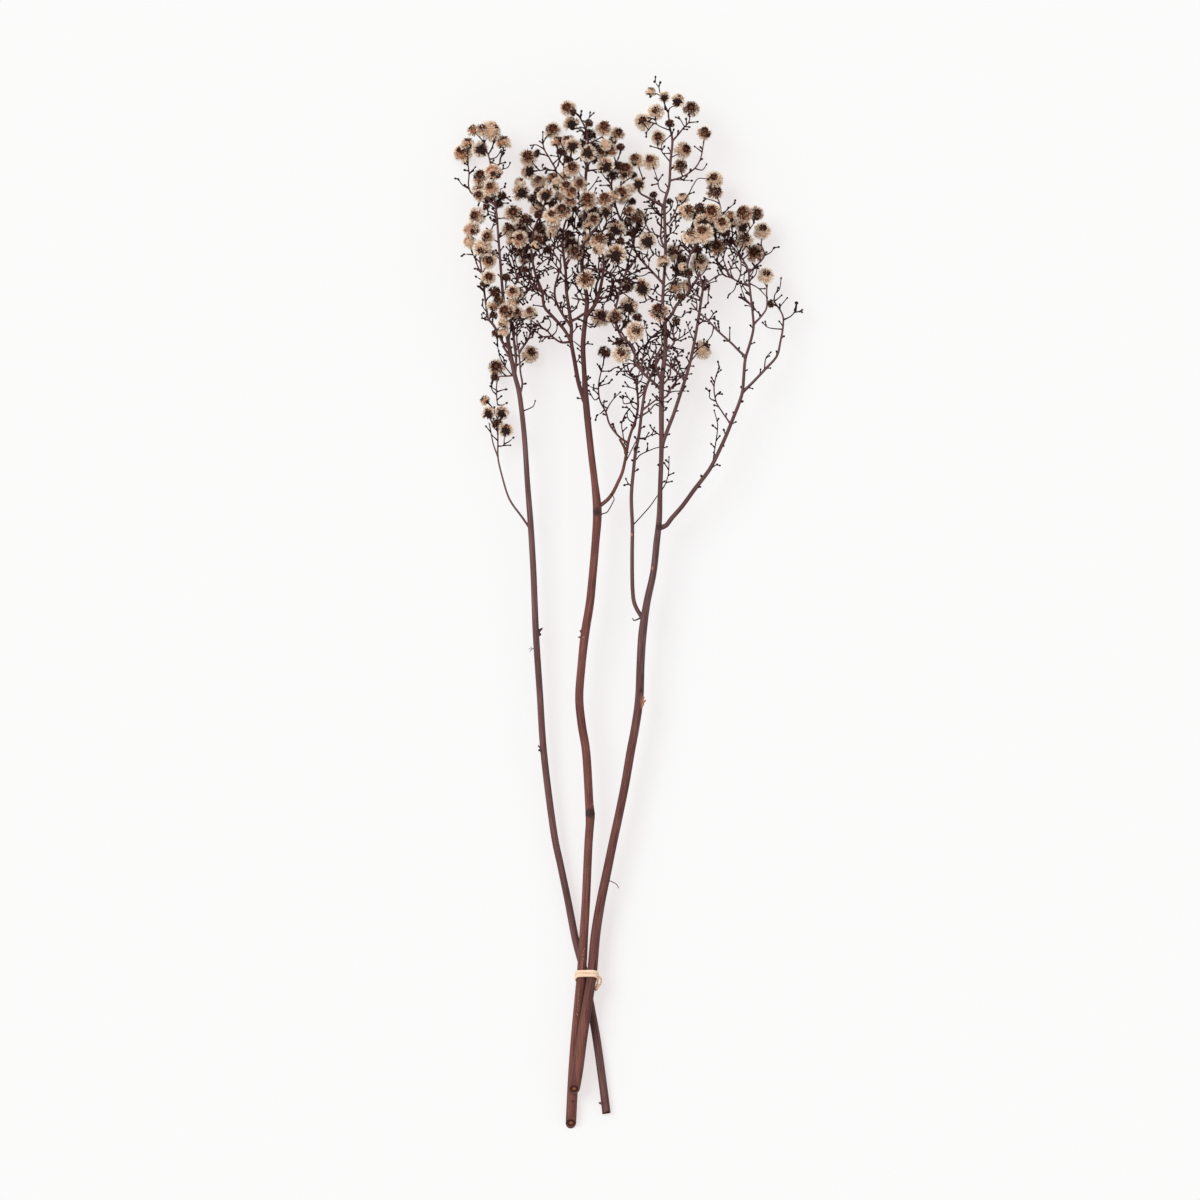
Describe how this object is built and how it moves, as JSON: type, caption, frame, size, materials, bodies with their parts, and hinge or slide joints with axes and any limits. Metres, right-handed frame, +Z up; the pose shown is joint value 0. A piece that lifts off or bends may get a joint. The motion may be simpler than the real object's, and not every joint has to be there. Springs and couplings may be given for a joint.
{
  "type": "bunch of dried flowers",
  "caption": "Bunch of long dried flower stems with branched tops of small round fluffy heads, lying down and tied near the cut ends with a rubber band.",
  "frame": {"origin": "middle of the bunch's footprint on the surface that it lies on", "axes": "+Y along the stems towards the flower heads, +Z up from the surface, +X to the right when the heads point away"},
  "size_m": [0.2268, 0.6928, 0.0574],
  "materials": {
    "bark_red": "matt reddish brown bark with fine lengthwise streaks",
    "bark_dark": "matt dark purplish brown bark",
    "rubber_peach": "matt pale peach rubber",
    "fluff_cream": "soft cream plant fluff",
    "fluff_tan": "soft tan plant fluff",
    "fluff_brown": "soft brown plant fluff",
    "fluff_dark": "dark dry bracts"
  },
  "bodies": {
    "root": {"stem_left": "bark_dark", "stem_centre": "bark_red", "stem_right": "bark_red", "rubber_band": "rubber_peach", "head_centre_01": "fluff_tan", "head_centre_02": "fluff_dark", "head_centre_03": "fluff_brown", "head_centre_04": "fluff_dark", "head_centre_05": "fluff_dark", "head_centre_06": "fluff_tan", "head_centre_07": "fluff_tan", "head_centre_08": "fluff_tan", "head_centre_09": "fluff_dark", "head_centre_10": "fluff_cream", "head_centre_11": "fluff_cream", "head_centre_12": "fluff_tan", "head_centre_13": "fluff_tan", "head_centre_14": "fluff_brown", "head_centre_15": "fluff_cream", "head_centre_16": "fluff_cream", "head_centre_17": "fluff_dark", "head_centre_18": "fluff_tan", "head_centre_19": "fluff_dark", "head_left_01": "fluff_tan", "head_left_02": "fluff_brown", "head_left_03": "fluff_tan", "head_left_04": "fluff_tan", "head_left_05": "fluff_tan", "head_left_06": "fluff_brown", "head_left_07": "fluff_cream", "head_left_08": "fluff_cream", "head_left_09": "fluff_tan", "head_left_10": "fluff_tan", "head_left_11": "fluff_tan", "head_left_12": "fluff_tan", "head_left_13": "fluff_tan", "head_left_14": "fluff_dark", "head_left_15": "fluff_dark", "head_right_01": "fluff_dark", "head_right_02": "fluff_tan", "head_right_03": "fluff_tan", "head_right_04": "fluff_brown", "head_right_05": "fluff_brown", "head_right_06": "fluff_tan", "head_right_07": "fluff_tan", "head_right_08": "fluff_tan", "head_right_09": "fluff_dark", "head_right_10": "fluff_brown", "head_right_11": "fluff_cream", "head_right_12": "fluff_tan", "head_right_13": "fluff_dark", "head_right_14": "fluff_tan", "head_right_15": "fluff_cream", "head_right_16": "fluff_tan", "head_right_17": "fluff_tan", "head_right_18": "fluff_cream", "head_right_19": "fluff_cream", "head_right_20": "fluff_dark", "head_right_21": "fluff_cream", "head_right_22": "fluff_cream"}
  },
  "joints": []
}
